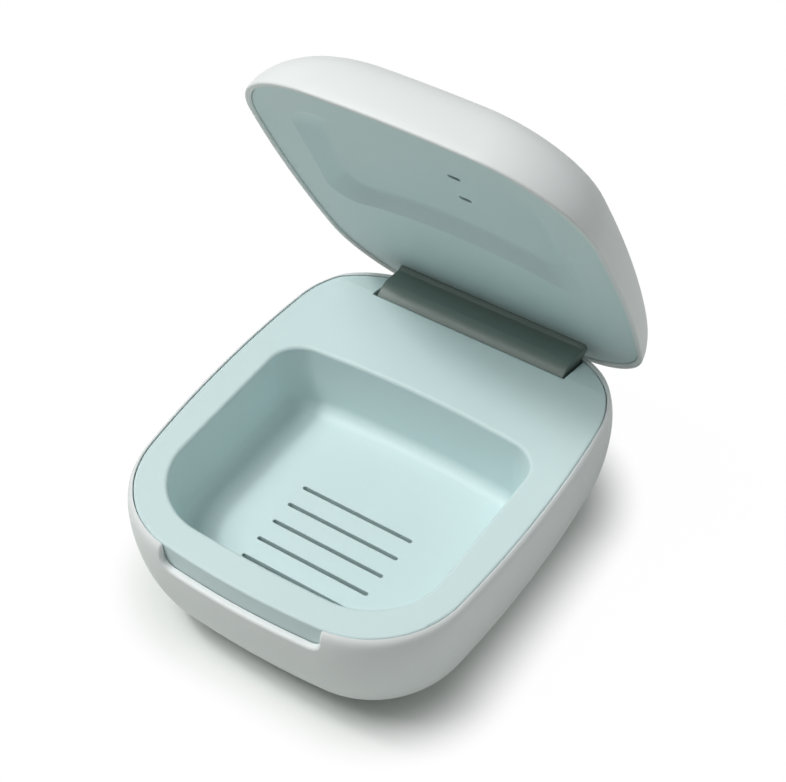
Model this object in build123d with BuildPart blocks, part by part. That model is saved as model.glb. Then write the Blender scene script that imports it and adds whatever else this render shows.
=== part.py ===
from build123d import *
import os
from math import cos, hypot, radians, sin, sqrt

# ---------------------------------------------------------------- overall sizes (mm)
WIDTH = 79.0
DEPTH = 93.4
BASE_H = 29.5  # underside of the shell to the deck
FOOT_H = 0.8
SIDE_BOW = 3.8  # how far the long sides bulge
END_BOW = 3.5  # how far the front and back bulge
CORNER_R = 22.3
WALL = 2.0

HALF_W = WIDTH / 2
HALF_D = DEPTH / 2
FLOOR_Z = FOOT_H
DECK_Z = FOOT_H + BASE_H

# ---------------------------------------------------------------- white base shell
RIM_W = 1.4
RIM_BAND = 4.6  # height of the round above the widest line
RIM_ROUND = 1.3  # how far that round draws in
RIM_STEPS = 3
BOWL_INSET = 14.5  # how far the bowl draws in at its foot
BOWL_POWER = 0.71  # below 1 keeps the bowl's flank full, then turns it under
BOWL_CORNER = 0.53  # share of the inset that the corners tighten by
BOWL_H = BASE_H - RIM_BAND
BOWL_STEPS = 8
NOTCH_HALF_W = 18.5
NOTCH_DEPTH = 5.3
NOTCH_R = 2.6
NOTCH_EDGE_R = 0.6
CREASE_Y = 35.1  # behind this line the deck falls away
REAR_DROP = 3.1

# ---------------------------------------------------------------- mint tray liner
GAP = 0.15  # joint between shell and liner
SKIRT_T = 1.6
SKIRT_H = 8.0
DECK_T = 1.8
DECK_EDGE_R = 0.5
CREASE_R = 1.0
TRAY_HALF_W = 30.8
TRAY_FRONT_Y = -38.2
TRAY_BACK_Y = 15.0
TRAY_FRONT_BOW = 1.2
TRAY_BACK_BOW = 1.9
TRAY_FRONT_R = 15.8
TRAY_BACK_R = 6.9
TRAY_DRAFT = 1.0
TRAY_FLOOR_R = 3.2
TRAY_EDGE_R = 0.8
TUB_T = 1.6
AIR_SLOT_L = 27.0
AIR_SLOT_W = 0.9
AIR_SLOT_PITCH = 5.25
AIR_SLOT_COUNT = 5
AIR_Y = -17.7

# ---------------------------------------------------------------- hinge
AXIS_Y = 40.1
AXIS_DROP = 6.3  # hinge axis below the deck
OPEN_ANGLE = 63.2
BARREL_R = 7.5
BARREL_GAP = 0.95
HUB_R = 2.9
ARM_INSET = 16.4  # each end of the arm, in from the widest line
ARM_END_GAP = 0.7
NECK_FRONT = -4.5  # from the axis, lid shut
NECK_REAR = -2.2
SHOULDER_DROP = 2.0  # the neck flares to the hub this far under its shoulder
NOSE_ANGLE = 164.5  # barrel's leading edge, lid shut
TAIL_ANGLE = 205.0
NOSE_R = 0.7
PIN_R = 1.25
PIN_RUN = 0.05
PIN_SHORT = 0.3  # how far the pin stops inside the ears
BUSH_R = 2.1
BUSH_L = 5.0
EAR_T = 2.0

AXIS_Z = DECK_Z - AXIS_DROP
ARM_HALF = HALF_W - ARM_INSET

# ---------------------------------------------------------------- white lid and its mint panel
PARTING = 0.46  # gap between deck and lip, lid shut
LIP_W = 1.1
LIP_BAND = 0.3
LIP_R = 0.4
DOME_H = 14.0
DOME_INSET = 15.5
DOME_FLANK = 1.22  # above 1 leans the flank of the crown inwards
DOME_POWER = 0.92  # below 1 keeps its shoulder full
DOME_CORNER = 0.3  # share of the inset that the corners tighten by
DOME_STEPS = 8
PANEL_RECESS = 0.6
PANEL_T = 1.5
PANEL_GAP = 0.1
POCKET_HALF_W = 30.6
POCKET_FRONT_HALF_W = 27.2
POCKET_FRONT_Y = -36.0
POCKET_BACK_Y = 8.6
POCKET_BOW = 8.0
POCKET_DEPTH = 2.4
POCKET_DRAFT = 4.5  # how far in its sloping wall runs
POCKET_R = 5.0
POCKET_FLOOR_R = 3.5
LAMP_X = 6.2
LAMP_YS = (-24.7, -15.7)
LAMP_SLOT_L = 2.8
LAMP_SLOT_W = 1.3

LIP_Z = DECK_Z + PARTING
PANEL_Z = LIP_Z + PANEL_RECESS

# ---------------------------------------------------------------- screws, feet, posts
SCREW_R = 1.0
SCREW_HEAD_R = 1.9
SCREW_HEAD_H = 1.2
SCREW_CLEAR = 0.15
RECESS_LENGTH = 1.3  # cross recess, as shares of the head's radius
RECESS_WIDTH = 0.3
POST_R = 2.7
CASE_SCREW_X = 20.6
CASE_SCREW_YS = (-21.5, 6.0)
CASE_SCREW_L = 7.0
FOOT_R = 3.6
FOOT_X = 12.0
FOOT_Y = 25.0
FOOT_SEAT = 0.4  # depth of the recess each foot is glued into

# ---------------------------------------------------------------- fan and heater
FAN_SIZE = 35.0
FAN_H = 5.5
FAN_PAD_H = 0.8
FAN_PITCH = 29.0
FAN_CORNER_R = 2.5
FAN_BORE_R = 15.8
FAN_BOSS_R = 2.1
FAN_SCREW_L = 7.5
FAN_PLATE_T = 1.0
FAN_STRUT_W = 2.0
FAN_STRUTS = 4
FAN_TUBE_R = 1.8
FAN_CORE_R = 5.8
FAN_CORE_H = 2.2
FAN_HUB_R = 7.5
FAN_HUB_T = 1.0
FAN_CLEAR = 0.4
FAN_SHAFT_R = 0.75
BLADE_TIP_R = 15.1
BLADES = 7
BLADE_CHORD = 4.6
BLADE_T = 0.8
BLADE_TILT = 40.0
FILTER_SIZE = 20.0
FILTER_T = 0.4
VENT_L = 16.0
VENT_W = 1.6
VENT_PITCH = 3.4
VENT_COUNT = 5
PLATE_L = 32.0
PLATE_W = 24.4
PLATE_T = 1.0
PLATE_SLOT_EXTRA = 0.4
HEATER_L = 26.0
HEATER_W = 2.6
HEATER_T = 0.8
HEATER_AIR = 1.1  # room above the fan for its air to spread

# ---------------------------------------------------------------- electronics
BOARD_INSET = 9.0
BOARD_HALF_L = 25.0
BOARD_FRONT_Y = 19.5
BOARD_T = 1.2
BOARD_POST_H = 3.2
BOARD_POST_R = 2.4
BOARD_TAB_W = 14.0
BOARD_TAB_Y = 39.2
BOARD_SCREW_L = 4.0
BOARD_SCREW_X = 18.0
BOARD_SCREW_Y = 23.5
BOARD_REAR_SCREW_Y = 30.5
CHIP_SIZE = 6.0
CHIP_H = 1.0
USB_W = 8.9
USB_H = 3.2
USB_FRONT_Y = 33.6
USB_REAR_Y = 42.6
USB_SHELL_T = 0.3
USB_CLEAR = 0.25
TONGUE_W = 6.7
TONGUE_T = 0.7
TONGUE_SHORT = 1.0  # how far the tongue stops inside the mouth
BUTTON_X = -12.5
BUTTON_R = 2.2
BUTTON_CLEAR = 0.15
BUTTON_FACE_Y = 45.0
BUTTON_ROUND = 0.5
BUTTON_TRAVEL = 0.5
BUTTON_FLANGE_R = 2.75
BUTTON_FLANGE_T = 0.8
BUTTON_SLEEVE_R = 3.1
BUTTON_STOP_Y = 39.4
SWITCH_SIZE = 5.6
SWITCH_L = 3.4
SWITCH_REAR_Y = 36.6
PLUNGER_R = 1.5
PLUNGER_IN = 0.8  # how much of the plunger sits inside the switch
PIPE_X = 12.5
PIPE_R = 0.75
PIPE_FACE_Y = 43.0
LED_SIZE = 1.6
LED_GAP = 0.3
MAGNET_L = 8.0
MAGNET_W = 2.8
MAGNET_T = 2.0
MAGNET_X = 10.0
MAGNET_Y = -41.4

# ---------------------------------------------------------------- lamps in the lid
LAMP_BOARD_L = 20.0
LAMP_BOARD_W = 9.0
LAMP_BOARD_T = 1.0
LAMP_POST_R = 1.4
LAMP_POST_PITCH = 16.0
LAMP_H = 0.9
LAMP_CHIP_GAP = 0.1
LAMP_W = 3.0
LID_POST_R = 2.2
LID_SIDE_POST_X = 34.2
LID_SIDE_POST_Y = -12.0
LID_REAR_POST_X = 22.0
LID_REAR_POST_Y = 30.0
ARM_SCREW_R = 0.7
ARM_SCREW_HEAD_R = 1.5
ARM_SCREW_L = 5.0
ARM_SCREW_PITCH = 16.0

# ---------------------------------------------------------------- heights that follow
INSIDE_Z = FLOOR_Z + WALL
BOARD_Z = INSIDE_Z + BOARD_POST_H
BOARD_TOP = BOARD_Z + BOARD_T
USB_Z = BOARD_TOP + USB_H / 2
BUTTON_Z = BOARD_TOP + SWITCH_SIZE / 2
PIPE_Z = BOARD_TOP + LED_SIZE / 2
FAN_Z = INSIDE_Z + FAN_PAD_H
FAN_TOP = FAN_Z + FAN_H
PLATE_Z = FAN_TOP + HEATER_AIR + HEATER_T
TUB_Z = PLATE_Z + PLATE_T
TRAY_FLOOR_Z = TUB_Z + TUB_T
POCKET_BACK_Z = PANEL_Z + POCKET_DEPTH + PANEL_T
LAMP_BOARD_Z = POCKET_BACK_Z + LAMP_H


# ================================================================ hinge planes
# HINGE sees the pin end-on with the lid shut; the two LID planes are swung to the open rest.
SWING = radians(OPEN_ANGLE)
HINGE = Plane(origin=(0, AXIS_Y, AXIS_Z), x_dir=(0, 1, 0), z_dir=(1, 0, 0))
LID_SIDE = Plane(origin=(0, AXIS_Y, AXIS_Z), x_dir=(0, cos(SWING), -sin(SWING)), z_dir=(1, 0, 0))
LID = Plane(
    origin=(
        0,
        AXIS_Y - AXIS_Y * cos(SWING) - AXIS_Z * sin(SWING),
        AXIS_Z + AXIS_Y * sin(SWING) - AXIS_Z * cos(SWING),
    ),
    x_dir=(1, 0, 0),
    z_dir=(0, sin(SWING), cos(SWING)),
)


# ================================================================ shared outlines
def bowed_outline(inset, corner):
    """Body outline drawn in by inset: four bowed sides with round corners."""
    half_x = HALF_W - inset
    half_y = HALF_D - inset
    side_x = half_x - SIDE_BOW * (half_y / HALF_D) ** 2
    end_y = half_y - END_BOW * (half_x / HALF_W) ** 2
    with BuildSketch() as face:
        with BuildLine():
            ThreePointArc((side_x, -end_y), (half_x, 0), (side_x, end_y))
            ThreePointArc((side_x, end_y), (0, half_y), (-side_x, end_y))
            ThreePointArc((-side_x, end_y), (-half_x, 0), (-side_x, -end_y))
            ThreePointArc((-side_x, -end_y), (0, -half_y), (side_x, -end_y))
        make_face()
        fillet(face.vertices(), corner)
    return face.sketch


def tray_outline(grow):
    """Tray opening, grown by grow: wide front corners, tight back ones."""
    side = TRAY_HALF_W + grow
    front = TRAY_FRONT_Y - grow
    back = TRAY_BACK_Y + grow
    with BuildSketch() as face:
        with BuildLine():
            ThreePointArc((-side, front + TRAY_FRONT_BOW), (0, front), (side, front + TRAY_FRONT_BOW))
            Line((side, front + TRAY_FRONT_BOW), (side, back - TRAY_BACK_BOW))
            ThreePointArc((side, back - TRAY_BACK_BOW), (0, back), (-side, back - TRAY_BACK_BOW))
            Line((-side, back - TRAY_BACK_BOW), (-side, front + TRAY_FRONT_BOW))
        make_face()
        fillet(face.vertices().group_by(Axis.Y)[0], TRAY_FRONT_R + grow)
        fillet(face.vertices().group_by(Axis.Y)[-1], TRAY_BACK_R + grow)
    return face.sketch


def pocket_outline(grow):
    """Shallow pocket of the lid panel: its back edge bows towards the front."""
    side = POCKET_HALF_W + grow
    nose = POCKET_FRONT_HALF_W + grow
    front = POCKET_FRONT_Y - grow
    back = POCKET_BACK_Y + grow
    with BuildSketch() as face:
        with BuildLine():
            ThreePointArc((-nose, front + TRAY_FRONT_BOW), (0, front), (nose, front + TRAY_FRONT_BOW))
            Line((nose, front + TRAY_FRONT_BOW), (side, back))
            ThreePointArc((side, back), (0, back - POCKET_BOW), (-side, back))
            Line((-side, back), (-nose, front + TRAY_FRONT_BOW))
        make_face()
        fillet(face.vertices().group_by(Axis.Y)[0], 2 * POCKET_R)
        fillet(face.vertices().group_by(Axis.Y)[-1], POCKET_R)
    return face.sketch


def shoulder(height, depth, flank, power, steps, skin):
    """Rise and inset of a round shoulder, moved inwards by skin along its normal."""
    pairs = []
    for step in range(steps + 1):
        turn = radians(90 * step / steps)
        upward = height * flank * cos(turn) ** (2 - power)
        inward = depth * power * sin(turn) ** (2 - flank)
        slope = hypot(upward, inward)
        rise = height * sin(turn) ** flank - skin * inward / slope
        pairs.append((rise, depth * (1 - cos(turn) ** power) + skin * upward / slope))
    return pairs


def bowl_rings(skin):
    """Outlines down the bowl, from its widest line to its foot."""
    rings = []
    for rise, inset in shoulder(BOWL_H, BOWL_INSET, 1, BOWL_POWER, BOWL_STEPS, skin):
        level = Plane.XY.offset(FLOOR_Z + BOWL_H - rise)
        rings.append((level, bowed_outline(inset, CORNER_R - BOWL_CORNER * inset)))
    return rings


def dome_rings(skin):
    """Outlines up the lid's crown, from its lip band to its top."""
    rings = []
    for rise, inset in shoulder(DOME_H, DOME_INSET, DOME_FLANK, DOME_POWER, DOME_STEPS, skin):
        level = LID.offset(LIP_Z + LIP_BAND + rise)
        rings.append((level, bowed_outline(inset, CORNER_R - DOME_CORNER * inset)))
    return rings


def rim_rings():
    """Outlines up the round of the base's rim."""
    rings = []
    for step in range(RIM_STEPS + 1):
        turn = radians(90 * step / RIM_STEPS)
        inset = RIM_ROUND * (1 - cos(turn))
        level = Plane.XY.offset(FLOOR_Z + BOWL_H + RIM_BAND * sin(turn))
        rings.append((level, bowed_outline(inset, CORNER_R - inset)))
    return rings


def rear_wedge(below):
    """Everything above the falling rear of the deck, lowered by below."""
    fall = REAR_DROP / (HALF_D - CREASE_Y)
    far = 2 * HALF_D
    with BuildPart() as wedge:
        with BuildSketch(Plane.YZ.offset(-HALF_W)):
            with BuildLine():
                Polyline(
                    (CREASE_Y, DECK_Z - below),
                    (far, DECK_Z - below - fall * (far - CREASE_Y)),
                    (far, DECK_Z + BASE_H),
                    (CREASE_Y, DECK_Z + BASE_H),
                    close=True,
                )
            make_face()
        extrude(amount=WIDTH)
    return wedge.part


def pan_screw(length, radius, head_radius):
    """Small pan-head screw: head under the origin plane, shank upwards."""
    with BuildPart() as screw:
        Cylinder(head_radius, SCREW_HEAD_H, align=HANGING)
        Cylinder(radius, length, align=STANDING)
        with BuildSketch(Plane.XY.offset(-SCREW_HEAD_H)):
            Rectangle(RECESS_LENGTH * head_radius, RECESS_WIDTH * head_radius)
            Rectangle(RECESS_WIDTH * head_radius, RECESS_LENGTH * head_radius)
        extrude(amount=SCREW_HEAD_H / 2, mode=Mode.SUBTRACT)
    return screw.part


def raised(spots, height):
    """The plan spots, lifted to one height."""
    return [(x, y, height) for x, y in spots]


STANDING = (Align.CENTER, Align.CENTER, Align.MIN)
HANGING = (Align.CENTER, Align.CENTER, Align.MAX)
CASE_SCREW_SPOTS = [(x, y) for x in (-CASE_SCREW_X, CASE_SCREW_X) for y in CASE_SCREW_YS]
FOOT_SPOTS = [(x, y) for x in (-FOOT_X, FOOT_X) for y in (-FOOT_Y, FOOT_Y)]
FAN_SPOTS = [(x, AIR_Y + y) for x in (-FAN_PITCH / 2, FAN_PITCH / 2) for y in (-FAN_PITCH / 2, FAN_PITCH / 2)]
BOARD_SPOTS = [(-BOARD_SCREW_X, BOARD_SCREW_Y), (BOARD_SCREW_X, BOARD_SCREW_Y), (0, BOARD_REAR_SCREW_Y)]

# ================================================================ base shell
DECK_WEDGE = rear_wedge(0)
BOWL_INSIDE = bowl_rings(WALL)
SHELL_OUTSIDE = bowl_rings(0)[:0:-1] + rim_rings()
RIM_INSIDE = bowed_outline(RIM_W, CORNER_R - RIM_W)
REBATE_Z = DECK_Z - SKIRT_H - GAP  # ledge under the liner's skirt
NOTCH_BACK = HALF_D - END_BOW - RIM_W - GAP  # how far from the middle the notch is cut


def on_notch_rim(edge):
    """True for the notch's edges on the outer skin of the front wall."""
    spot = edge.center()
    skin_y = END_BOW * (spot.X / HALF_W) ** 2 - HALF_D
    return (
        abs(spot.X) < NOTCH_HALF_W + GAP
        and DECK_Z - NOTCH_DEPTH - GAP < spot.Z < DECK_Z - GAP
        and spot.Y < skin_y + 0.7 * RIM_W
        and abs(edge.tangent_at(0.5).Y) < 0.5
    )


with BuildPart() as base_form:
    for level, ring in SHELL_OUTSIDE:
        with BuildSketch(level):
            add(ring)
    loft()
    add(DECK_WEDGE, mode=Mode.SUBTRACT)

with BuildPart() as base_hollow:
    for level, ring in BOWL_INSIDE:
        with BuildSketch(level):
            add(ring)
    loft()
    with BuildSketch(Plane.XY.offset(REBATE_Z)):
        add(RIM_INSIDE)
    extrude(amount=SKIRT_H + RIM_BAND)

# Posts for the board and the sleeve of the button, trimmed to the bowl's outside.
with BuildPart() as base_fittings:
    with Locations(*raised(BOARD_SPOTS, FLOOR_Z)):
        Cylinder(BOARD_POST_R, BOARD_Z - FLOOR_Z, align=STANDING)
    with BuildSketch(Plane.XZ.offset(-BUTTON_STOP_Y)):
        with Locations((BUTTON_X, BUTTON_Z)):
            Circle(BUTTON_SLEEVE_R)
    extrude(amount=BUTTON_STOP_Y - HALF_D)
    add(base_form.part, mode=Mode.INTERSECT)

with BuildPart() as base_shell:
    add(base_form.part)
    add(base_hollow.part, mode=Mode.SUBTRACT)
    with BuildSketch(Plane.XZ.offset(NOTCH_BACK)):
        with Locations((0, DECK_Z)):
            RectangleRounded(2 * NOTCH_HALF_W, 2 * NOTCH_DEPTH, NOTCH_R)
    extrude(amount=2 * END_BOW, mode=Mode.SUBTRACT)
    fillet(base_shell.edges().filter_by(on_notch_rim), NOTCH_EDGE_R)
    add(base_fittings.part)
    with BuildSketch(Plane.XY.offset(FLOOR_Z)):
        with Locations((0, AIR_Y)):
            with GridLocations(1, VENT_PITCH, 1, VENT_COUNT):
                SlotOverall(VENT_L, VENT_W)
    extrude(amount=WALL, mode=Mode.SUBTRACT)
    with Locations(*raised(CASE_SCREW_SPOTS, FLOOR_Z)):
        Cylinder(SCREW_HEAD_R + SCREW_CLEAR, SCREW_HEAD_H, align=STANDING, mode=Mode.SUBTRACT)
        Cylinder(SCREW_R + SCREW_CLEAR, WALL, align=STANDING, mode=Mode.SUBTRACT)
    with Locations(*raised(FOOT_SPOTS, FLOOR_Z)):
        Cylinder(FOOT_R, FOOT_SEAT, align=STANDING, mode=Mode.SUBTRACT)
    with Locations(*raised(BOARD_SPOTS, BOARD_Z)):
        Cylinder(SCREW_R, BOARD_SCREW_L - BOARD_T, align=HANGING, mode=Mode.SUBTRACT)
    with BuildSketch(Plane.XZ.offset(-BUTTON_STOP_Y)):
        with Locations((0, USB_Z)):
            SlotOverall(USB_W + 2 * USB_CLEAR, USB_H + 2 * USB_CLEAR)
        with Locations((BUTTON_X, BUTTON_Z)):
            Circle(BUTTON_R + BUTTON_CLEAR)
        with Locations((PIPE_X, PIPE_Z)):
            Circle(PIPE_R)
    extrude(amount=BUTTON_STOP_Y - HALF_D, mode=Mode.SUBTRACT)

with BuildPart() as rubber_feet:
    with Locations(*raised(FOOT_SPOTS, 0)):
        Cylinder(FOOT_R, FLOOR_Z + FOOT_SEAT, align=STANDING)
    fillet(rubber_feet.edges().group_by(Axis.Z)[0], FOOT_H / 2)

# ================================================================ tray liner
LINER_TOP = bowed_outline(RIM_W + GAP, CORNER_R - RIM_W - GAP)
SKIRT_INSIDE = bowed_outline(RIM_W + GAP + SKIRT_T, CORNER_R - RIM_W - GAP - SKIRT_T)
TRAY_MOUTH = tray_outline(0)
TRAY_FLOOR = tray_outline(-TRAY_DRAFT)
TUB_TOP = tray_outline(TUB_T)
TUB_FLOOR = tray_outline(TUB_T - TRAY_DRAFT)
LINER_ROOM = bowl_rings(WALL + GAP)
UNDER_WEDGE = rear_wedge(DECK_T)
MIDDLE_WEDGE = rear_wedge(DECK_T / 2)

with BuildPart() as tray_form:
    with BuildSketch(Plane.XY.offset(TRAY_FLOOR_Z)):
        add(TRAY_FLOOR)
    with BuildSketch(Plane.XY.offset(DECK_Z)):
        add(TRAY_MOUTH)
    loft()
    fillet(tray_form.edges().group_by(Axis.Z)[0], TRAY_FLOOR_R)

with BuildPart() as tub_form:
    with BuildSketch(Plane.XY.offset(TUB_Z)):
        add(TUB_FLOOR)
    with BuildSketch(Plane.XY.offset(DECK_Z - DECK_T / 2)):
        add(TUB_TOP)
    loft()
    fillet(tub_form.edges().group_by(Axis.Z)[0], TRAY_FLOOR_R)

with BuildPart() as under_deck:
    with BuildSketch(Plane.XY.offset(DECK_Z - SKIRT_H)):
        add(SKIRT_INSIDE)
    extrude(amount=SKIRT_H - DECK_T)
    add(UNDER_WEDGE, mode=Mode.SUBTRACT)

with BuildPart() as liner_room:
    for level, ring in LINER_ROOM:
        with BuildSketch(level):
            add(ring)
    loft()
    with BuildSketch(Plane.XY.offset(DECK_Z - SKIRT_H)):
        add(LINER_TOP)
    extrude(amount=SKIRT_H - DECK_T / 2)
    add(MIDDLE_WEDGE, mode=Mode.SUBTRACT)

with BuildPart() as hinge_trough:
    with BuildSketch(HINGE.offset(-ARM_HALF - ARM_END_GAP)):
        Circle(BARREL_R + BARREL_GAP)
        Rectangle(2 * (HALF_D - AXIS_Y), 2 * (HALF_D - AXIS_Y), align=(Align.MIN, Align.MIN))
    extrude(amount=2 * (ARM_HALF + ARM_END_GAP))

with BuildPart() as hinge_box:
    with BuildSketch(HINGE.offset(-ARM_HALF - ARM_END_GAP - EAR_T)):
        Circle(BARREL_R + BARREL_GAP + TUB_T)
    extrude(amount=2 * (ARM_HALF + ARM_END_GAP + EAR_T))
    add(liner_room.part, mode=Mode.INTERSECT)

with BuildPart() as tray_liner:
    with BuildSketch(Plane.XY.offset(DECK_Z - SKIRT_H)):
        add(LINER_TOP)
    extrude(amount=SKIRT_H)
    add(DECK_WEDGE, mode=Mode.SUBTRACT)
    fillet(tray_liner.edges().filter_by(Axis.X).group_by(Axis.Z)[-1], CREASE_R)
    top_faces = tray_liner.faces().filter_by(lambda face: face.normal_at().Z > 0.9)
    fillet(top_faces.edges().filter_by(lambda edge: abs(edge.tangent_at(0.5).X) < 0.999), DECK_EDGE_R)
    add(under_deck.part, mode=Mode.SUBTRACT)
    add(tub_form.part)
    add(hinge_box.part)
    with Locations(*raised(CASE_SCREW_SPOTS, INSIDE_Z)):
        Cylinder(POST_R, TRAY_FLOOR_Z - INSIDE_Z, align=STANDING)
    with Locations(*raised(FAN_SPOTS, FAN_TOP)):
        Cylinder(FAN_BOSS_R, TRAY_FLOOR_Z - FAN_TOP, align=STANDING)
    add(tray_form.part, mode=Mode.SUBTRACT)
    deck_face = tray_liner.faces().filter_by(Axis.Z).group_by(Axis.Z)[-1]
    mouth = deck_face.edges().filter_by(lambda edge: TRAY_FRONT_Y - 1 < edge.center().Y < TRAY_BACK_Y + 1)
    fillet(mouth.filter_by(lambda edge: abs(edge.center().X) < TRAY_HALF_W + 1), TRAY_EDGE_R)
    add(hinge_trough.part, mode=Mode.SUBTRACT)
    with Locations(*raised(CASE_SCREW_SPOTS, INSIDE_Z)):
        Cylinder(SCREW_R, CASE_SCREW_L + SCREW_HEAD_H - WALL, align=STANDING, mode=Mode.SUBTRACT)
    with Locations(*raised(FAN_SPOTS, FAN_TOP)):
        Cylinder(SCREW_R, FAN_SCREW_L + SCREW_HEAD_H - FAN_H, align=STANDING, mode=Mode.SUBTRACT)
    with BuildSketch(Plane.XY.offset(TUB_Z)):
        with Locations((0, AIR_Y)):
            with GridLocations(1, AIR_SLOT_PITCH, 1, AIR_SLOT_COUNT):
                SlotOverall(AIR_SLOT_L, AIR_SLOT_W)
    extrude(amount=TUB_T, mode=Mode.SUBTRACT)
    with BuildSketch(HINGE.offset(-HALF_W)):
        Circle(PIN_R)
    extrude(amount=WIDTH, mode=Mode.SUBTRACT)

# Small fan: a square frame with a motor plate, its rotor and the coil core between.
with BuildPart() as fan_frame:
    with BuildSketch(Plane.XY.offset(FAN_Z)):
        with Locations((0, AIR_Y)):
            RectangleRounded(FAN_SIZE, FAN_SIZE, FAN_CORNER_R)
            Circle(FAN_BORE_R, mode=Mode.SUBTRACT)
    extrude(amount=FAN_H)
    with BuildSketch(Plane.XY.offset(FAN_Z)):
        with Locations((0, AIR_Y)):
            Circle(FAN_HUB_R)
            with PolarLocations(FAN_HUB_R + FAN_BORE_R / 4, FAN_STRUTS, start_angle=45):
                Rectangle(FAN_BORE_R / 2 + FAN_STRUT_W, FAN_STRUT_W)
    extrude(amount=FAN_PLATE_T)
    with BuildSketch(Plane.XY.offset(FAN_Z)):
        with Locations((0, AIR_Y)):
            Circle(FAN_TUBE_R)
    extrude(amount=FAN_H - FAN_HUB_T - FAN_CLEAR)
    with BuildSketch(Plane.XY.offset(FAN_Z)):
        with Locations((0, AIR_Y)):
            Circle(FAN_SHAFT_R + PIN_RUN)
    extrude(amount=FAN_H, mode=Mode.SUBTRACT)
    with Locations(*raised(FAN_SPOTS, FAN_Z)):
        Cylinder(SCREW_R + SCREW_CLEAR, FAN_H, align=STANDING, mode=Mode.SUBTRACT)
        Cylinder(SCREW_HEAD_R + SCREW_CLEAR, SCREW_HEAD_H, align=STANDING, mode=Mode.SUBTRACT)

with BuildPart() as fan_core:
    with BuildSketch(Plane.XY.offset(FAN_Z + FAN_PLATE_T)):
        with Locations((0, AIR_Y)):
            Circle(FAN_CORE_R)
            Circle(FAN_TUBE_R, mode=Mode.SUBTRACT)
    extrude(amount=FAN_CORE_H)

ROTOR_Z = FAN_Z + FAN_PLATE_T + FAN_CLEAR
ROTOR_TOP = FAN_TOP - FAN_CLEAR / 2
with BuildPart() as fan_rotor:
    with BuildSketch(Plane.XY.offset(ROTOR_Z)):
        with Locations((0, AIR_Y)):
            Circle(FAN_HUB_R)
    extrude(amount=ROTOR_TOP - ROTOR_Z)
    with BuildSketch(Plane.XY.offset(ROTOR_Z)):
        with Locations((0, AIR_Y)):
            Circle(FAN_CORE_R + FAN_CLEAR)
    extrude(amount=ROTOR_TOP - FAN_HUB_T - ROTOR_Z, mode=Mode.SUBTRACT)
    with BuildSketch(Plane.XY.offset(FAN_Z + FAN_CLEAR)):
        with Locations((0, AIR_Y)):
            Circle(FAN_SHAFT_R)
    extrude(amount=ROTOR_TOP - FAN_Z - FAN_CLEAR)
    with Locations((0, AIR_Y, (ROTOR_Z + ROTOR_TOP) / 2)):
        with PolarLocations((FAN_HUB_R + BLADE_TIP_R) / 2 - FAN_CLEAR, BLADES):
            Box(BLADE_TIP_R - FAN_HUB_R + 2 * FAN_CLEAR, BLADE_CHORD, BLADE_T, rotation=(BLADE_TILT, 0, 0))

FAN_SCREW = pan_screw(FAN_SCREW_L, SCREW_R, SCREW_HEAD_R)
with BuildPart() as fan_screws:
    with Locations(*raised(FAN_SPOTS, FAN_Z + SCREW_HEAD_H)):
        add(FAN_SCREW)

CASE_SCREW = pan_screw(CASE_SCREW_L, SCREW_R, SCREW_HEAD_R)
with BuildPart() as case_screws:
    with Locations(*raised(CASE_SCREW_SPOTS, FLOOR_Z + SCREW_HEAD_H)):
        add(CASE_SCREW)

with BuildPart() as dust_mesh:
    with BuildSketch(Plane.XY.offset(INSIDE_Z)):
        with Locations((0, AIR_Y)):
            Rectangle(FILTER_SIZE, FILTER_SIZE)
    extrude(amount=FILTER_T)

# Warm plate under the tray floor, slotted like the floor, with strip heaters between slots.
with BuildPart() as warm_plate:
    with BuildSketch(Plane.XY.offset(PLATE_Z)):
        with Locations((0, AIR_Y)):
            Rectangle(PLATE_L, PLATE_W)
            with GridLocations(1, AIR_SLOT_PITCH, 1, AIR_SLOT_COUNT):
                SlotOverall(AIR_SLOT_L + PLATE_SLOT_EXTRA, AIR_SLOT_W + PLATE_SLOT_EXTRA, mode=Mode.SUBTRACT)
    extrude(amount=PLATE_T)

with BuildPart() as strip_heaters:
    with BuildSketch(Plane.XY.offset(PLATE_Z - HEATER_T)):
        with Locations((0, AIR_Y)):
            with GridLocations(1, 3 * AIR_SLOT_PITCH, 1, 2):
                Rectangle(HEATER_L, HEATER_W)
    extrude(amount=HEATER_T)

# ================================================================ electronics
BOARD_OUTLINE = bowed_outline(BOARD_INSET, CORNER_R - BOARD_INSET)
with BuildPart() as main_board:
    with BuildSketch(Plane.XY.offset(BOARD_Z)):
        add(BOARD_OUTLINE)
        with Locations((0, BOARD_FRONT_Y)):
            Rectangle(2 * BOARD_HALF_L, HALF_D, align=(Align.CENTER, Align.MIN), mode=Mode.INTERSECT)
            Rectangle(BOARD_TAB_W, BOARD_TAB_Y - BOARD_FRONT_Y, align=(Align.CENTER, Align.MIN))
    extrude(amount=BOARD_T)
    with Locations(*raised(BOARD_SPOTS, BOARD_Z)):
        Cylinder(SCREW_R + SCREW_CLEAR, BOARD_T, align=STANDING, mode=Mode.SUBTRACT)

BOARD_SCREW = pan_screw(BOARD_SCREW_L, SCREW_R, SCREW_HEAD_R)
with BuildPart() as board_screws:
    with Locations(*[Location((x, y, BOARD_TOP), (180, 0, 0)) for x, y in BOARD_SPOTS]):
        add(BOARD_SCREW)

with BuildPart() as control_chip:
    with BuildSketch(Plane.XY.offset(BOARD_TOP)):
        with Locations((0, BOARD_SCREW_Y)):
            Rectangle(CHIP_SIZE, CHIP_SIZE)
    extrude(amount=CHIP_H)

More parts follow.
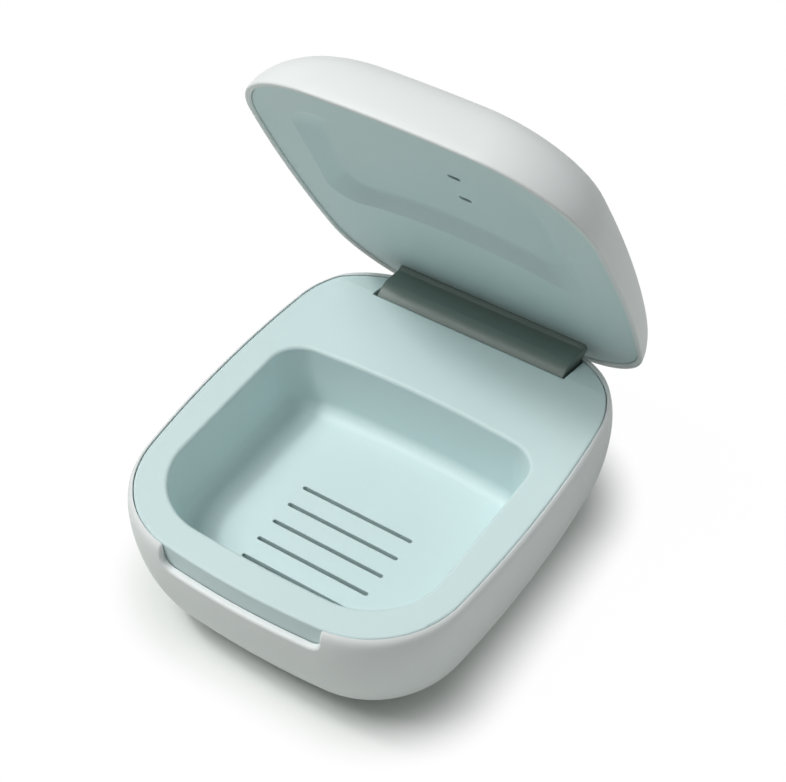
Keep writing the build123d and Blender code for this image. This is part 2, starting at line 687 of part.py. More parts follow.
with BuildPart() as usb_socket:
    with BuildSketch(Plane.XZ.offset(-USB_FRONT_Y)):
        with Locations((0, USB_Z)):
            SlotOverall(USB_W, USB_H)
    extrude(amount=USB_FRONT_Y - USB_REAR_Y)
    with BuildSketch(Plane.XZ.offset(-USB_FRONT_Y - USB_SHELL_T)):
        with Locations((0, USB_Z)):
            SlotOverall(USB_W - 2 * USB_SHELL_T, USB_H - 2 * USB_SHELL_T)
    extrude(amount=USB_FRONT_Y - USB_REAR_Y, mode=Mode.SUBTRACT)

with BuildPart() as usb_tongue:
    with BuildSketch(Plane.XZ.offset(-USB_FRONT_Y - USB_SHELL_T)):
        with Locations((0, USB_Z)):
            Rectangle(TONGUE_W, TONGUE_T)
    extrude(amount=USB_FRONT_Y + USB_SHELL_T + TONGUE_SHORT - USB_REAR_Y)

with BuildPart() as power_switch:
    with BuildSketch(Plane.XZ.offset(-SWITCH_REAR_Y)):
        with Locations((BUTTON_X, BUTTON_Z)):
            Rectangle(SWITCH_SIZE, SWITCH_SIZE)
    extrude(amount=SWITCH_L)
    with BuildSketch(Plane.XZ.offset(-SWITCH_REAR_Y)):
        with Locations((BUTTON_X, BUTTON_Z)):
            Circle(PLUNGER_R + PIN_RUN)
    extrude(amount=PLUNGER_IN + 2 * BUTTON_TRAVEL, mode=Mode.SUBTRACT)

# The cap stops on its sleeve by the flange; the plunger behind it works the switch.
FLANGE_Y = BUTTON_STOP_Y - BUTTON_FLANGE_T
with BuildPart() as power_button:
    with BuildSketch(Plane.XZ.offset(-BUTTON_STOP_Y)):
        with Locations((BUTTON_X, BUTTON_Z)):
            Circle(BUTTON_R)
    extrude(amount=BUTTON_STOP_Y - BUTTON_FACE_Y)
    fillet(power_button.edges().group_by(Axis.Y)[-1], BUTTON_ROUND)
    with BuildSketch(Plane.XZ.offset(-FLANGE_Y)):
        with Locations((BUTTON_X, BUTTON_Z)):
            Circle(BUTTON_FLANGE_R)
    extrude(amount=-BUTTON_FLANGE_T)

with BuildPart() as switch_plunger:
    with BuildSketch(Plane.XZ.offset(-FLANGE_Y)):
        with Locations((BUTTON_X, BUTTON_Z)):
            Circle(PLUNGER_R)
    extrude(amount=FLANGE_Y - SWITCH_REAR_Y + PLUNGER_IN)

with BuildPart() as status_led:
    with Locations((PIPE_X, SWITCH_REAR_Y, PIPE_Z)):
        Box(LED_SIZE, LED_SIZE, LED_SIZE, align=(Align.CENTER, Align.MAX, Align.CENTER))

with BuildPart() as light_pipe:
    with BuildSketch(Plane.XZ.offset(-SWITCH_REAR_Y - LED_GAP)):
        with Locations((PIPE_X, PIPE_Z)):
            Circle(PIPE_R)
    extrude(amount=SWITCH_REAR_Y + LED_GAP - PIPE_FACE_Y)

with BuildPart() as tray_magnets:
    with Locations((-MAGNET_X, MAGNET_Y, DECK_Z - DECK_T), (MAGNET_X, MAGNET_Y, DECK_Z - DECK_T)):
        Box(MAGNET_L, MAGNET_W, MAGNET_T, align=(Align.CENTER, Align.CENTER, Align.MAX))

# ================================================================ hinge
PIN_HALF = ARM_HALF + ARM_END_GAP + EAR_T - PIN_SHORT
with BuildPart() as hinge_pin:
    with BuildSketch(HINGE.offset(-PIN_HALF)):
        Circle(PIN_R)
    extrude(amount=2 * PIN_HALF)

with BuildPart() as friction_bushes:
    for start in (-ARM_HALF, ARM_HALF - BUSH_L):
        with BuildSketch(HINGE.offset(start)):
            Circle(BUSH_R)
            Circle(PIN_R + PIN_RUN, mode=Mode.SUBTRACT)
        extrude(amount=BUSH_L)

# Arm about the pin: barrel face in front, hub behind, a neck up to the lid panel.
NOSE = (BARREL_R * cos(radians(NOSE_ANGLE)), BARREL_R * sin(radians(NOSE_ANGLE)))
TAIL = (BARREL_R * cos(radians(TAIL_ANGLE)), BARREL_R * sin(radians(TAIL_ANGLE)))
BELLY_ANGLE = radians((NOSE_ANGLE + TAIL_ANGLE) / 2)
BELLY = (BARREL_R * cos(BELLY_ANGLE), BARREL_R * sin(BELLY_ANGLE))
SHOULDER_Z = sqrt(BARREL_R**2 - NECK_FRONT**2)
NECK_TOP = PANEL_Z - AXIS_Z
NECK_Y = AXIS_Y + (NECK_FRONT + NECK_REAR) / 2
ARM_SCREW_SPOTS = [(turn * ARM_SCREW_PITCH, NECK_Y) for turn in (-1, 0, 1)]
NOSE_SPOT = LID_SIDE.from_local_coords((NOSE[0], NOSE[1], 0))
with BuildPart() as hinge_arm:
    with BuildSketch(LID_SIDE.offset(-ARM_HALF)):
        with BuildLine():
            ThreePointArc(TAIL, BELLY, NOSE)
            Polyline(
                NOSE,
                (NECK_FRONT, SHOULDER_Z),
                (NECK_FRONT, NECK_TOP),
                (NECK_REAR, NECK_TOP),
                (NECK_REAR, SHOULDER_Z),
                (NECK_REAR - SHOULDER_DROP / 4, SHOULDER_Z - SHOULDER_DROP),
                (HUB_R / sqrt(2), HUB_R / sqrt(2)),
                (0, -HUB_R),
                TAIL,
            )
        make_face()
        Circle(HUB_R)
    extrude(amount=2 * ARM_HALF)
    nose_edge = hinge_arm.edges().filter_by(Axis.X).sort_by_distance(NOSE_SPOT)[0]
    fillet(nose_edge, NOSE_R)
    with BuildSketch(HINGE.offset(-ARM_HALF)):
        Circle(BUSH_R)
    extrude(amount=2 * ARM_HALF, mode=Mode.SUBTRACT)
    with BuildSketch(LID.offset(PANEL_Z)):
        with Locations(*ARM_SCREW_SPOTS):
            Circle(ARM_SCREW_R)
    extrude(amount=PANEL_T - ARM_SCREW_L, mode=Mode.SUBTRACT)

LID_BACK = LID.offset(PANEL_Z + PANEL_T)
ARM_SCREW = pan_screw(ARM_SCREW_L, ARM_SCREW_R, ARM_SCREW_HEAD_R)
with BuildPart() as arm_screws:
    with Locations(*[LID_BACK.location * Location((x, y, 0), (180, 0, 0)) for x, y in ARM_SCREW_SPOTS]):
        add(ARM_SCREW)

# ================================================================ lid
LID_POSTS = [(side * LID_SIDE_POST_X, LID_SIDE_POST_Y) for side in (-1, 1)]
LID_POSTS += [(side * LID_REAR_POST_X, LID_REAR_POST_Y) for side in (-1, 1)]
LID_UP = Axis(LID.origin, LID.z_dir)
LIP_OUTSIDE = bowed_outline(0, CORNER_R)
LIP_INSIDE = bowed_outline(LIP_W, CORNER_R - DOME_CORNER * LIP_W)
PANEL_OUTLINE = bowed_outline(LIP_W + PANEL_GAP, CORNER_R - DOME_CORNER * LIP_W - PANEL_GAP)
CROWN_OUTSIDE = dome_rings(0)
CROWN_INSIDE = dome_rings(WALL)
POCKET_MOUTH = pocket_outline(0)
POCKET_FLOOR = pocket_outline(-POCKET_DRAFT)
POCKET_SHELL = pocket_outline(PANEL_T / 2)

with BuildPart() as lid_form:
    with BuildSketch(LID.offset(LIP_Z)):
        add(LIP_OUTSIDE)
    extrude(amount=LIP_BAND)
    for level, ring in CROWN_OUTSIDE:
        with BuildSketch(level):
            add(ring)
    loft()

# Hollow of the crown, opened at the lip by a rebate that seats the panel.
with BuildPart() as lid_hollow:
    with BuildSketch(LID.offset(LIP_Z)):
        add(LIP_INSIDE)
    extrude(amount=PANEL_RECESS + PANEL_T)
    for level, ring in CROWN_INSIDE:
        with BuildSketch(level):
            add(ring)
    loft()

with BuildPart() as lid_fittings:
    with BuildSketch(LID_BACK):
        with Locations(*LID_POSTS):
            Circle(LID_POST_R)
    extrude(amount=DOME_H)
    add(lid_form.part, mode=Mode.INTERSECT)

with BuildPart() as lid_shell:
    add(lid_form.part)
    add(lid_hollow.part, mode=Mode.SUBTRACT)
    flat_faces = lid_shell.faces().filter_by(lambda face: (face.normal_at() + LID.z_dir).length < 0.01)
    fillet(flat_faces.sort_by(LID_UP)[0].edges(), LIP_R)
    add(lid_fittings.part)

with BuildPart() as pocket_form:
    with BuildSketch(LID.offset(PANEL_Z)):
        add(POCKET_MOUTH)
    with BuildSketch(LID.offset(PANEL_Z + POCKET_DEPTH)):
        add(POCKET_FLOOR)
    loft()
    fillet(pocket_form.faces().sort_by(LID_UP)[-1].edges(), POCKET_FLOOR_R)

LAMP_MID_Y = (LAMP_YS[0] + LAMP_YS[1]) / 2
LAMP_POSTS = [(LAMP_X, LAMP_MID_Y + side * LAMP_POST_PITCH / 2) for side in (-1, 1)]
with BuildPart() as lid_panel:
    with BuildSketch(LID.offset(PANEL_Z)):
        add(PANEL_OUTLINE)
    extrude(amount=PANEL_T)
    with BuildSketch(LID.offset(PANEL_Z)):
        add(POCKET_SHELL)
    extrude(amount=POCKET_DEPTH + PANEL_T)
    with BuildSketch(LID.offset(POCKET_BACK_Z)):
        with Locations(*LAMP_POSTS):
            Circle(LAMP_POST_R)
    extrude(amount=LAMP_H)
    add(pocket_form.part, mode=Mode.SUBTRACT)
    with BuildSketch(LID.offset(PANEL_Z)):
        with Locations(*[(LAMP_X, y) for y in LAMP_YS]):
            SlotOverall(LAMP_SLOT_L, LAMP_SLOT_W)
        with Locations(*ARM_SCREW_SPOTS):
            Circle(ARM_SCREW_R + SCREW_CLEAR)
    extrude(amount=POCKET_DEPTH + PANEL_T, mode=Mode.SUBTRACT)

with BuildPart() as lamp_board:
    with BuildSketch(LID.offset(LAMP_BOARD_Z)):
        with Locations((LAMP_X, LAMP_MID_Y)):
            Rectangle(LAMP_BOARD_W, LAMP_BOARD_L)
    extrude(amount=LAMP_BOARD_T)

with BuildPart() as lamp_chips:
    with BuildSketch(LID.offset(LAMP_BOARD_Z)):
        with Locations(*[(LAMP_X, y) for y in LAMP_YS]):
            Rectangle(LAMP_W, LAMP_W / 2)
    extrude(amount=LAMP_CHIP_GAP - LAMP_H)

with BuildPart() as lid_magnets:
    with BuildSketch(LID_BACK):
        with Locations((-MAGNET_X, MAGNET_Y), (MAGNET_X, MAGNET_Y)):
            Rectangle(MAGNET_L, MAGNET_W)
    extrude(amount=MAGNET_T)

# ================================================================ written pieces
os.makedirs("parts", exist_ok=True)
pieces = {
    "base_shell": base_shell,
    "rubber_feet": rubber_feet,
    "tray_liner": tray_liner,
    "case_screws": case_screws,
    "fan_frame": fan_frame,
    "fan_core": fan_core,
    "fan_rotor": fan_rotor,
    "fan_screws": fan_screws,
    "dust_mesh": dust_mesh,
    "warm_plate": warm_plate,
    "strip_heaters": strip_heaters,
    "main_board": main_board,
    "board_screws": board_screws,
    "control_chip": control_chip,
    "usb_socket": usb_socket,
    "usb_tongue": usb_tongue,
    "power_switch": power_switch,
    "switch_plunger": switch_plunger,
    "power_button": power_button,
    "status_led": status_led,
    "light_pipe": light_pipe,
    "tray_magnets": tray_magnets,
    "hinge_pin": hinge_pin,
    "friction_bushes": friction_bushes,
    "hinge_arm": hinge_arm,
    "arm_screws": arm_screws,
    "lid_shell": lid_shell,
    "lid_panel": lid_panel,
    "lamp_board": lamp_board,
    "lamp_chips": lamp_chips,
    "lid_magnets": lid_magnets,
}
for label, piece in pieces.items():
    piece.part.label = label
    export_step(piece.part, f"parts/{label}.step")
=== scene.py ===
import math

import bpy
from mathutils import Matrix, Vector

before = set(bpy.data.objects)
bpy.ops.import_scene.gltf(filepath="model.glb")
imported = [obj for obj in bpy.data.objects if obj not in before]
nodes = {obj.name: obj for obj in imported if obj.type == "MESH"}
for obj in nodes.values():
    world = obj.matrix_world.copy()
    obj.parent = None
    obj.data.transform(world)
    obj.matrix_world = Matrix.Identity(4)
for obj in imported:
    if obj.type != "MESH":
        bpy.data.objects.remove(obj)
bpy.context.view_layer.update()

# ------------------------------------------------------------------ camera
# A long lens, a third of a metre off, looking down past the front right corner
# of the case so that the tray, the hinge and the inside of the lid all show.
SENSOR_WIDTH = 36.0
LENS = 82.47
NEAREST_SEEN = 0.01
CAMERA_PLACE = (0.14265, -0.19576, 0.29698)
CAMERA_RIGHT = (0.8308, 0.5561, -0.0221)
CAMERA_BACK = (0.3975, -0.5651, 0.7229)
camera_data = bpy.data.cameras.new("camera")
camera_data.sensor_width = SENSOR_WIDTH
camera_data.lens = LENS
camera_data.clip_start = NEAREST_SEEN
camera = bpy.data.objects.new("camera", camera_data)
bpy.context.scene.collection.objects.link(camera)
bpy.context.scene.camera = camera
camera_right = Vector(CAMERA_RIGHT).normalized()
camera_back = Vector(CAMERA_BACK).normalized()
camera_up = camera_back.cross(camera_right).normalized()
camera_right = camera_up.cross(camera_back)
camera_turn = Matrix((camera_right, camera_up, camera_back)).transposed().to_4x4()
camera.matrix_world = Matrix.Translation(CAMERA_PLACE) @ camera_turn

# ------------------------------------------------------------------ light
# A small lamp high on the left throws the lid's faint shadow over the back of the
# deck, a broad one beside it lights the rest, and a light tent fills it in from the right.
LAMPS = {
    "key_lamp": {"width": 0.14, "power": 2.9, "toward": (-0.47, -0.17, 0.866)},
    "broad_lamp": {"width": 0.60, "power": 7.3, "toward": (-0.40, -0.25, 0.882)},
}
LAMP_AWAY = 1.1
TENT_LOW = 0.07
TENT_HIGH = 0.60
TENT_SIDE = (0.88, 0.46, 0.10)  # where the tent is brightest
TENT_DARK_FROM = -0.1
TENT_BRIGHT_FROM = 0.95
scene = bpy.context.scene
scene.view_settings.view_transform = "Standard"


def paint(hex_colour):
    """A written sRGB colour as the linear values that a shader socket takes."""
    channels = [int(hex_colour[i:i + 2], 16) / 255 for i in (1, 3, 5)]
    linear = [c / 12.92 if c <= 0.04045 else ((c + 0.055) / 1.055) ** 2.4 for c in channels]
    return (*linear, 1.0)


def add_node(tree, kind, settings=None, **links):
    """Adds one shader node, sets it up and feeds its inputs, numbered ones as i0, i1 and so on."""
    node = tree.nodes.new(kind)
    for name, value in (settings or {}).items():
        if hasattr(node, name):
            setattr(node, name, value)
        elif name[0] == "i" and name[1:].isdigit():
            node.inputs[int(name[1:])].default_value = value
        else:
            node.inputs[name.replace("_", " ")].default_value = value
    for name, source in links.items():
        if name[0] == "i" and name[1:].isdigit():
            tree.links.new(source, node.inputs[int(name[1:])])
        else:
            tree.links.new(source, node.inputs[name.replace("_", " ")])
    return node


for lamp_name, lamp in LAMPS.items():
    lamp_data = bpy.data.lights.new(lamp_name, "AREA")
    lamp_data.shape = "DISK"
    lamp_data.size = lamp["width"]
    lamp_data.energy = lamp["power"]
    lamp_object = bpy.data.objects.new(lamp_name, lamp_data)
    scene.collection.objects.link(lamp_object)
    toward_lamp = Vector(lamp["toward"]).normalized()
    aimed = toward_lamp.to_track_quat("Z", "Y").to_matrix().to_4x4()
    lamp_object.matrix_world = Matrix.Translation(toward_lamp * LAMP_AWAY) @ aimed

tent = bpy.data.worlds.new("light_tent")
scene.world = tent
tent.use_nodes = True
tree = tent.node_tree
tree.nodes.clear()
ray = add_node(tree, "ShaderNodeLightPath")
seen_or_mirrored = add_node(
    tree, "ShaderNodeMath", {"operation": "MAXIMUM"},
    i0=ray.outputs["Is Camera Ray"], i1=ray.outputs["Is Glossy Ray"],
)
seen_any_way = add_node(
    tree, "ShaderNodeMath", {"operation": "MAXIMUM"},
    i0=seen_or_mirrored.outputs[0], i1=ray.outputs["Is Transmission Ray"],
)
toward = add_node(tree, "ShaderNodeTexCoord")
facing = add_node(
    tree, "ShaderNodeVectorMath", {"operation": "DOT_PRODUCT", "i1": TENT_SIDE},
    i0=toward.outputs["Generated"],
)
tent_light = add_node(
    tree, "ShaderNodeMapRange",
    {"interpolation_type": "SMOOTHSTEP", "From_Min": TENT_DARK_FROM, "From_Max": TENT_BRIGHT_FROM,
     "To_Min": TENT_LOW, "To_Max": TENT_HIGH},
    Value=facing.outputs["Value"],
)
fill = add_node(tree, "ShaderNodeBackground", {"Color": paint("#F9FBFC")}, Strength=tent_light.outputs[0])
white = add_node(tree, "ShaderNodeBackground", {"Color": (1.0, 1.0, 1.0, 1.0), "Strength": 1.0})
picked = add_node(
    tree, "ShaderNodeMixShader", i0=seen_any_way.outputs[0], i1=fill.outputs[0], i2=white.outputs[0]
)
add_node(tree, "ShaderNodeOutputWorld", Surface=picked.outputs[0])

# ------------------------------------------------------------------ table top
# A matt white sheet. Close around the case's foot it takes the real shadow; further out a white glow seen
# only by the camera, painted brightness, fades it to plain white and hides the shadow there.
FADE_START = -0.005
FADE_END = 0.011
FADE_MOST = 0.97
FOOTPRINT_HALF = (0.0365, 0.0435)
FOOTPRINT_CORNER = 0.02
TABLE_SIDE = 6.0
SHEET_GLOW = 1.016
bpy.ops.object.select_all(action="DESELECT")
bpy.ops.mesh.primitive_plane_add(size=TABLE_SIDE, location=(0, 0, 0))
table_top = bpy.context.object
table_top.name = "table_top"
paper_sheet = bpy.data.materials.new("white_paper_sheet")
paper_sheet.use_nodes = True
tree = paper_sheet.node_tree
tree.nodes.clear()
spot = add_node(tree, "ShaderNodeTexCoord")
folded = add_node(tree, "ShaderNodeVectorMath", {"operation": "ABSOLUTE"}, i0=spot.outputs["Object"])
corner_centre = [half - FOOTPRINT_CORNER for half in FOOTPRINT_HALF]
past_foot = add_node(
    tree, "ShaderNodeVectorMath", {"operation": "SUBTRACT", "i1": (*corner_centre, 0)},
    i0=folded.outputs[0],
)
outside = add_node(
    tree, "ShaderNodeVectorMath", {"operation": "MAXIMUM", "i1": (0, 0, 0)}, i0=past_foot.outputs[0]
)
away = add_node(tree, "ShaderNodeVectorMath", {"operation": "LENGTH"}, i0=outside.outputs[0])
fade = add_node(
    tree, "ShaderNodeMapRange",
    {"interpolation_type": "SMOOTHSTEP", "From_Min": FOOTPRINT_CORNER + FADE_START,
     "From_Max": FOOTPRINT_CORNER + FADE_END, "To_Max": FADE_MOST},
    Value=away.outputs["Value"],
)
ray = add_node(tree, "ShaderNodeLightPath")
# Painted brightness: past the foot the camera sees a white glow in place of the shaded sheet.
seen_fade = add_node(
    tree, "ShaderNodeMath", {"operation": "MULTIPLY"}, i0=fade.outputs[0], i1=ray.outputs["Is Camera Ray"]
)
sheet = add_node(tree, "ShaderNodeBsdfDiffuse", {"Color": paint("#DCE0DC")})
glow = add_node(tree, "ShaderNodeEmission", {"Color": (1.0, 1.0, 1.0, 1.0), "Strength": SHEET_GLOW})
faded = add_node(
    tree, "ShaderNodeMixShader", i0=seen_fade.outputs[0], i1=sheet.outputs[0], i2=glow.outputs[0]
)
add_node(tree, "ShaderNodeOutputMaterial", Surface=faded.outputs[0])
table_top.data.materials.append(paper_sheet)


# ------------------------------------------------------------------ base shell
# The lower body: one injection moulding in satin white ABS, round all over,
# with a thumb notch in front and openings for the inlet and the button behind.
CLOUD_SIZE = 0.028
PLASTIC_IOR = 1.53
COAT_ROUGHNESS = 0.12


def begin_material(name):
    """A new material with its node tree, its shader and the object's own coordinates."""
    material = bpy.data.materials.new(name)
    material.use_nodes = True
    tree = material.node_tree
    return material, tree, tree.nodes["Principled BSDF"], add_node(tree, "ShaderNodeTexCoord")


def plastic(name, colour, shade, roughness, grit, grit_depth, edge, gloss=0.5, coat=0.0):
    """A moulded plastic: two close tones in slow clouds, fine mould grit, softened edges.

    colour and shade are the two tones, grit the grain size and grit_depth its height
    in metres, edge the radius that catches light along an edge, and gloss the specular level.
    """
    material, tree, shader, spot = begin_material(name)
    clouds = add_node(
        tree, "ShaderNodeTexNoise", {"Scale": 1 / CLOUD_SIZE, "Detail": 2.0, "Roughness": 0.45},
        Vector=spot.outputs["Object"],
    )
    tone = add_node(
        tree, "ShaderNodeMix", {"data_type": "RGBA", "i6": paint(colour), "i7": paint(shade)},
        i0=clouds.outputs["Fac"],
    )
    grain = add_node(
        tree, "ShaderNodeTexNoise", {"Scale": 1 / grit, "Detail": 3.0, "Roughness": 0.6},
        Vector=spot.outputs["Object"],
    )
    polish = add_node(
        tree, "ShaderNodeMapRange",
        {"From_Min": 0.3, "From_Max": 0.7, "To_Min": roughness - 0.04, "To_Max": roughness + 0.05},
        Value=grain.outputs["Fac"],
    )
    soft_edge = add_node(tree, "ShaderNodeBevel", {"samples": 4, "Radius": edge})
    skin = add_node(
        tree, "ShaderNodeBump", {"Strength": 1.0, "Distance": grit_depth},
        Height=grain.outputs["Fac"], Normal=soft_edge.outputs[0],
    )
    tree.links.new(tone.outputs[2], shader.inputs["Base Color"])
    tree.links.new(polish.outputs[0], shader.inputs["Roughness"])
    tree.links.new(skin.outputs[0], shader.inputs["Normal"])
    shader.inputs["IOR"].default_value = PLASTIC_IOR
    shader.inputs["Specular IOR Level"].default_value = gloss
    shader.inputs["Coat Weight"].default_value = coat
    shader.inputs["Coat Roughness"].default_value = COAT_ROUGHNESS
    return material


def finish_in(material, *names):
    """Gives the named CAD nodes one finish all over."""
    for name in names:
        nodes[name].data.materials.clear()
        nodes[name].data.materials.append(material)


# Satin-gloss white ABS: a cool white that greys softly in shade, long soft highlights.
white_abs = plastic(
    "satin_gloss_white_abs", "#E3E7E6", "#DFE3E2", roughness=0.42,
    grit=0.0011, grit_depth=0.000005, edge=0.0003, gloss=0.32,
)
finish_in(white_abs, "base_shell")

# ------------------------------------------------------------------ feet
# Four soft grey silicone pads, die-cut and glued into shallow seats under the
# shell so that the case doesn't slide.
# Silicone: matt, a little powdery, with a faint sheen at the edge.
silicone = plastic(
    "matt_grey_silicone", "#A9ACAB", "#9B9E9D", roughness=0.75, grit=0.0004, grit_depth=0.00001, edge=0.0002
)
finish_in(silicone, "rubber_feet")

# ------------------------------------------------------------------ fan
# A bought-in 35 mm fan: glass-filled black nylon frame and rotor, a copper coil
# core, and four plated screws up into the liner's bosses.
# Glass-filled nylon: black with a dry, slightly mottled skin.
black_nylon = plastic(
    "glass_filled_black_nylon", "#1B1C1D", "#26282A",
    roughness=0.5, grit=0.0005, grit_depth=0.000012, edge=0.0002,
)
finish_in(black_nylon, "fan_frame", "fan_rotor")


def metal(name, colour, shade, roughness, streak, turned=(1.0, 1.0, 1.0)):
    """A plated or drawn metal: fine streaks, streak metres wide, stretched along one axis by turned."""
    material, tree, shader, spot = begin_material(name)
    drawn = add_node(tree, "ShaderNodeMapping", {"Scale": turned}, Vector=spot.outputs["Object"])
    streaks = add_node(
        tree, "ShaderNodeTexNoise", {"Scale": 1 / streak, "Detail": 4.0, "Roughness": 0.6},
        Vector=drawn.outputs[0],
    )
    tone = add_node(
        tree, "ShaderNodeMix", {"data_type": "RGBA", "i6": paint(shade), "i7": paint(colour)},
        i0=streaks.outputs["Fac"],
    )
    polish = add_node(
        tree, "ShaderNodeMapRange", {"To_Min": roughness - 0.08, "To_Max": roughness + 0.08},
        Value=streaks.outputs["Fac"],
    )
    skin = add_node(
        tree, "ShaderNodeBump", {"Strength": 0.4, "Distance": 0.00001}, Height=streaks.outputs["Fac"]
    )
    tree.links.new(tone.outputs[2], shader.inputs["Base Color"])
    tree.links.new(polish.outputs[0], shader.inputs["Roughness"])
    tree.links.new(skin.outputs[0], shader.inputs["Normal"])
    shader.inputs["Metallic"].default_value = 1.0
    return material


# Zinc-plated steel: bright, faintly blue, with small turning marks.
zinc_steel = metal("zinc_plated_steel", "#D4D8DC", "#B9BEC3", roughness=0.28, streak=0.0006)
finish_in(zinc_steel, "fan_screws", "case_screws", "board_screws", "arm_screws")
# Enamelled copper wire: warm brown-red turns wound around the core's axis.
copper_wire = metal(
    "enamelled_copper_wire", "#C9733F", "#8E4523", roughness=0.3, streak=0.0007, turned=(1.0, 1.0, 8.0)
)
finish_in(copper_wire, "fan_core")

# ------------------------------------------------------------------ dust mesh
# A square of woven nylon mesh, heat-stuck over the air slots in the bottom to
# keep lint out of the fan.
# Nylon mesh: dark grey threads half a millimetre apart, drawn as coarse as it needs to show.
THREAD_PITCH = 0.0005
BANDS_PER_METRE = math.pi / 10 / THREAD_PITCH  # one wave band per thread
nylon_mesh, tree, shader, spot = begin_material("woven_nylon_mesh")
warp = add_node(
    tree, "ShaderNodeTexWave", {"bands_direction": "X", "Scale": BANDS_PER_METRE},
    Vector=spot.outputs["Object"],
)
weft = add_node(
    tree, "ShaderNodeTexWave", {"bands_direction": "Y", "Scale": BANDS_PER_METRE},
    Vector=spot.outputs["Object"],
)
woven = add_node(
    tree, "ShaderNodeMath", {"operation": "MAXIMUM"}, i0=warp.outputs["Fac"], i1=weft.outputs["Fac"]
)
tone = add_node(
    tree, "ShaderNodeMix", {"data_type": "RGBA", "i6": paint("#101214"), "i7": paint("#5A5E62")},
    i0=woven.outputs[0],
)
relief = add_node(tree, "ShaderNodeBump", {"Strength": 0.8, "Distance": 0.0001}, Height=woven.outputs[0])
tree.links.new(tone.outputs[2], shader.inputs["Base Color"])
tree.links.new(relief.outputs[0], shader.inputs["Normal"])
shader.inputs["Roughness"].default_value = 0.6
finish_in(nylon_mesh, "dust_mesh")

# ------------------------------------------------------------------ warm plate
# A slotted aluminium plate pressed against the underside of the tray floor, with
# two film heaters stuck along it between the slots.
# Brushed aluminium: fine grain along the slots, soft grey glint.
brushed_aluminium = metal(
    "brushed_aluminium", "#D8DADB", "#B2B5B7", roughness=0.36, streak=0.0012, turned=(0.08, 1.0, 1.0)
)
finish_in(brushed_aluminium, "warm_plate")
# Polyimide film: amber and glossy over a darker foil.
film_heater = plastic(
    "amber_polyimide_film", "#B5701F", "#8E4F12",
    roughness=0.22, grit=0.0009, grit_depth=0.00001, edge=0.0001, coat=0.4,
)
finish_in(film_heater, "strip_heaters")

# ------------------------------------------------------------------ main board
# Glass-epoxy circuit board on three posts, screwed down, with its moulded control
# chip and the status lamp at its rear edge.
# Solder mask: deep green gloss over copper tracks that show as lighter lanes.
TRACK_PITCH = 0.0016
solder_mask, tree, shader, spot = begin_material("green_solder_mask")
lanes = add_node(
    tree, "ShaderNodeTexBrick",
    {"Scale": 1.0, "Brick_Width": 6 * TRACK_PITCH, "Row_Height": TRACK_PITCH, "Mortar_Size": TRACK_PITCH / 6,
     "Color1": paint("#155C3A"), "Color2": paint("#125233"), "Mortar": paint("#2C8A58")},
    Vector=spot.outputs["Object"],
)
relief = add_node(tree, "ShaderNodeBump", {"Strength": 0.5, "Distance": 0.00003}, Height=lanes.outputs["Fac"])
tree.links.new(lanes.outputs["Color"], shader.inputs["Base Color"])
tree.links.new(relief.outputs[0], shader.inputs["Normal"])
shader.inputs["Roughness"].default_value = 0.25
shader.inputs["Coat Weight"].default_value = 0.5
finish_in(solder_mask, "main_board", "lamp_board")
# Epoxy moulding compound: black, dry and slightly sandy.
chip_epoxy = plastic(
    "black_moulding_epoxy", "#16171A", "#1E2024",
    roughness=0.62, grit=0.00025, grit_depth=0.000008, edge=0.0001,
)
finish_in(chip_epoxy, "control_chip", "power_switch")

# ------------------------------------------------------------------ charging inlet
# A drawn and nickel-plated steel shell with its rounded mouth in the rear wall,
# around a black tongue of liquid-crystal polymer.
# Nickel plate: warm, bright and evenly polished.
nickel_plate = metal(
    "bright_nickel_plate", "#DAD6CF", "#C2BDB4", roughness=0.2, streak=0.0008, turned=(1.0, 0.15, 1.0)
)
finish_in(nickel_plate, "usb_socket", "tray_magnets", "lid_magnets")
# Liquid-crystal polymer: black, smooth, with flow marks along its length.
tongue_polymer = plastic(
    "black_connector_polymer", "#141416", "#1F2023",
    roughness=0.4, grit=0.0004, grit_depth=0.000005, edge=0.0001,
)
finish_in(tongue_polymer, "usb_tongue")

# ------------------------------------------------------------------ power button
# A white ABS cap with a softly rounded face, in a sleeve of the rear wall; the
# plunger behind it works a small tact switch.
finish_in(white_abs, "power_button")
# Acetal: milky off-white and waxy.
acetal = plastic(
    "waxy_white_acetal", "#E2E1DC", "#D6D5D0", roughness=0.38, grit=0.0006, grit_depth=0.000004, edge=0.0001
)
finish_in(acetal, "switch_plunger", "friction_bushes")

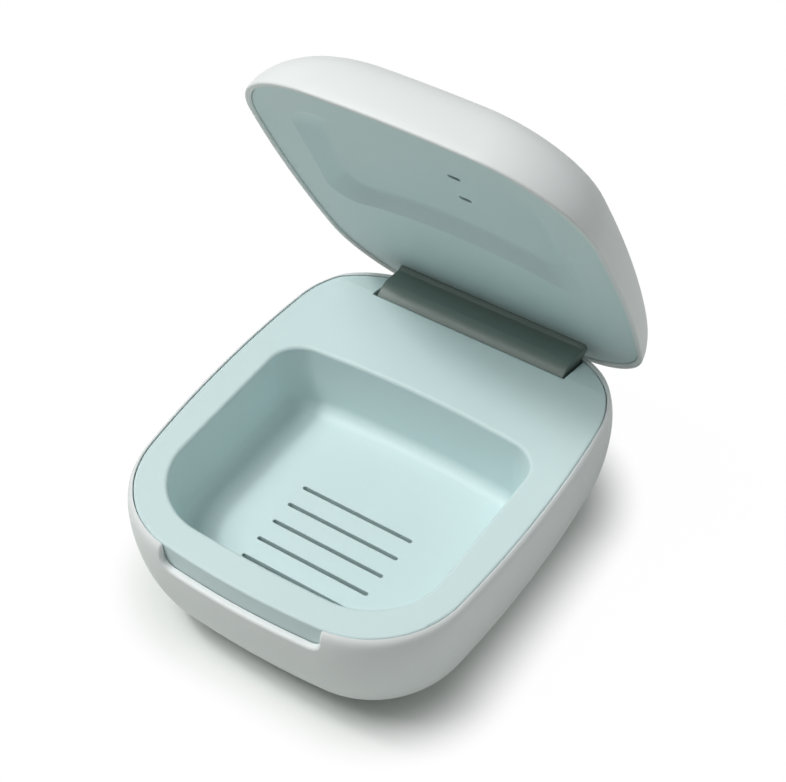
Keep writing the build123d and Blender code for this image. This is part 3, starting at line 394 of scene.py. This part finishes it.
# ------------------------------------------------------------------ status lamp
# A small lamp on the board and a clear acrylic rod that carries its light to the
# rear wall.
# Clear acrylic and lamp epoxy: they pass light and show bright rims.
SWIRL_SIZE = 0.0009
ACRYLIC_IOR = 1.49
clear_acrylic, tree, shader, spot = begin_material("clear_acrylic")
swirl = add_node(
    tree, "ShaderNodeTexNoise", {"Scale": 1 / SWIRL_SIZE, "Detail": 1.0}, Vector=spot.outputs["Object"]
)
tone = add_node(
    tree, "ShaderNodeMix", {"data_type": "RGBA", "i6": paint("#EAF4F2"), "i7": paint("#FAFCFC")},
    i0=swirl.outputs["Fac"],
)
tree.links.new(tone.outputs[2], shader.inputs["Base Color"])
shader.inputs["Roughness"].default_value = 0.08
shader.inputs["IOR"].default_value = ACRYLIC_IOR
shader.inputs["Transmission Weight"].default_value = 0.85
finish_in(clear_acrylic, "light_pipe", "status_led")

# ------------------------------------------------------------------ tray liner
# The mint inner moulding: deck, tray with five air slots, screw posts and hinge
# ears in one piece of ABS, screwed down from below.
# Mint ABS from a spark-eroded mould: pale blue-green, matt, a fine even grain.
mint_abs = plastic(
    "fine_matt_mint_abs", "#D1E3E3", "#CBDEDE", roughness=0.5, grit=0.00055, grit_depth=0.00001, edge=0.00035,
    gloss=0.28,
)
finish_in(mint_abs, "tray_liner")

# ------------------------------------------------------------------ hinge
# A grey-green ABS arm turns on a ground steel pin through the liner's ears; two acetal
# bushes drag on the pin so that the lid stays where it is put.
# Ground steel: bright, with fine marks around its length.
ground_steel = metal(
    "ground_steel", "#CFD1D3", "#A7AAAD", roughness=0.24, streak=0.0005, turned=(0.3, 1.0, 1.0)
)
finish_in(ground_steel, "hinge_pin")
# Grey-green ABS for the arm, smooth, with a soft glint on its nose; its colour is darker than the liner as
# painted shade for the dark corner under the lid.
arm_abs_with_painted_shade = plastic(
    "grey_green_abs_with_painted_shade", "#70807A", "#6A7A73",
    roughness=0.38, grit=0.0006, grit_depth=0.000006, edge=0.0006,
    gloss=0.4,
)
finish_in(arm_abs_with_painted_shade, "hinge_arm")

# ------------------------------------------------------------------ lid shell
# The crown of the case: a domed white ABS moulding with a thin rounded lip.
finish_in(white_abs, "lid_shell")

# ------------------------------------------------------------------ lid panel
# The mint panel pressed into the lid's rebate, with a shallow pocket and two
# short slots for the lamps.
finish_in(mint_abs, "lid_panel")

# ------------------------------------------------------------------ lamps
# Two small lamps behind the panel's slots, under dark filter caps that pass only
# violet light, on their own little board.
# Filter glass: nearly black with a violet cast and a hard gloss.
violet_filter = plastic(
    "dark_violet_filter", "#0C0B12", "#14111F",
    roughness=0.12, grit=0.0008, grit_depth=0.000002, edge=0.0001, coat=0.6,
)
finish_in(violet_filter, "lamp_chips")
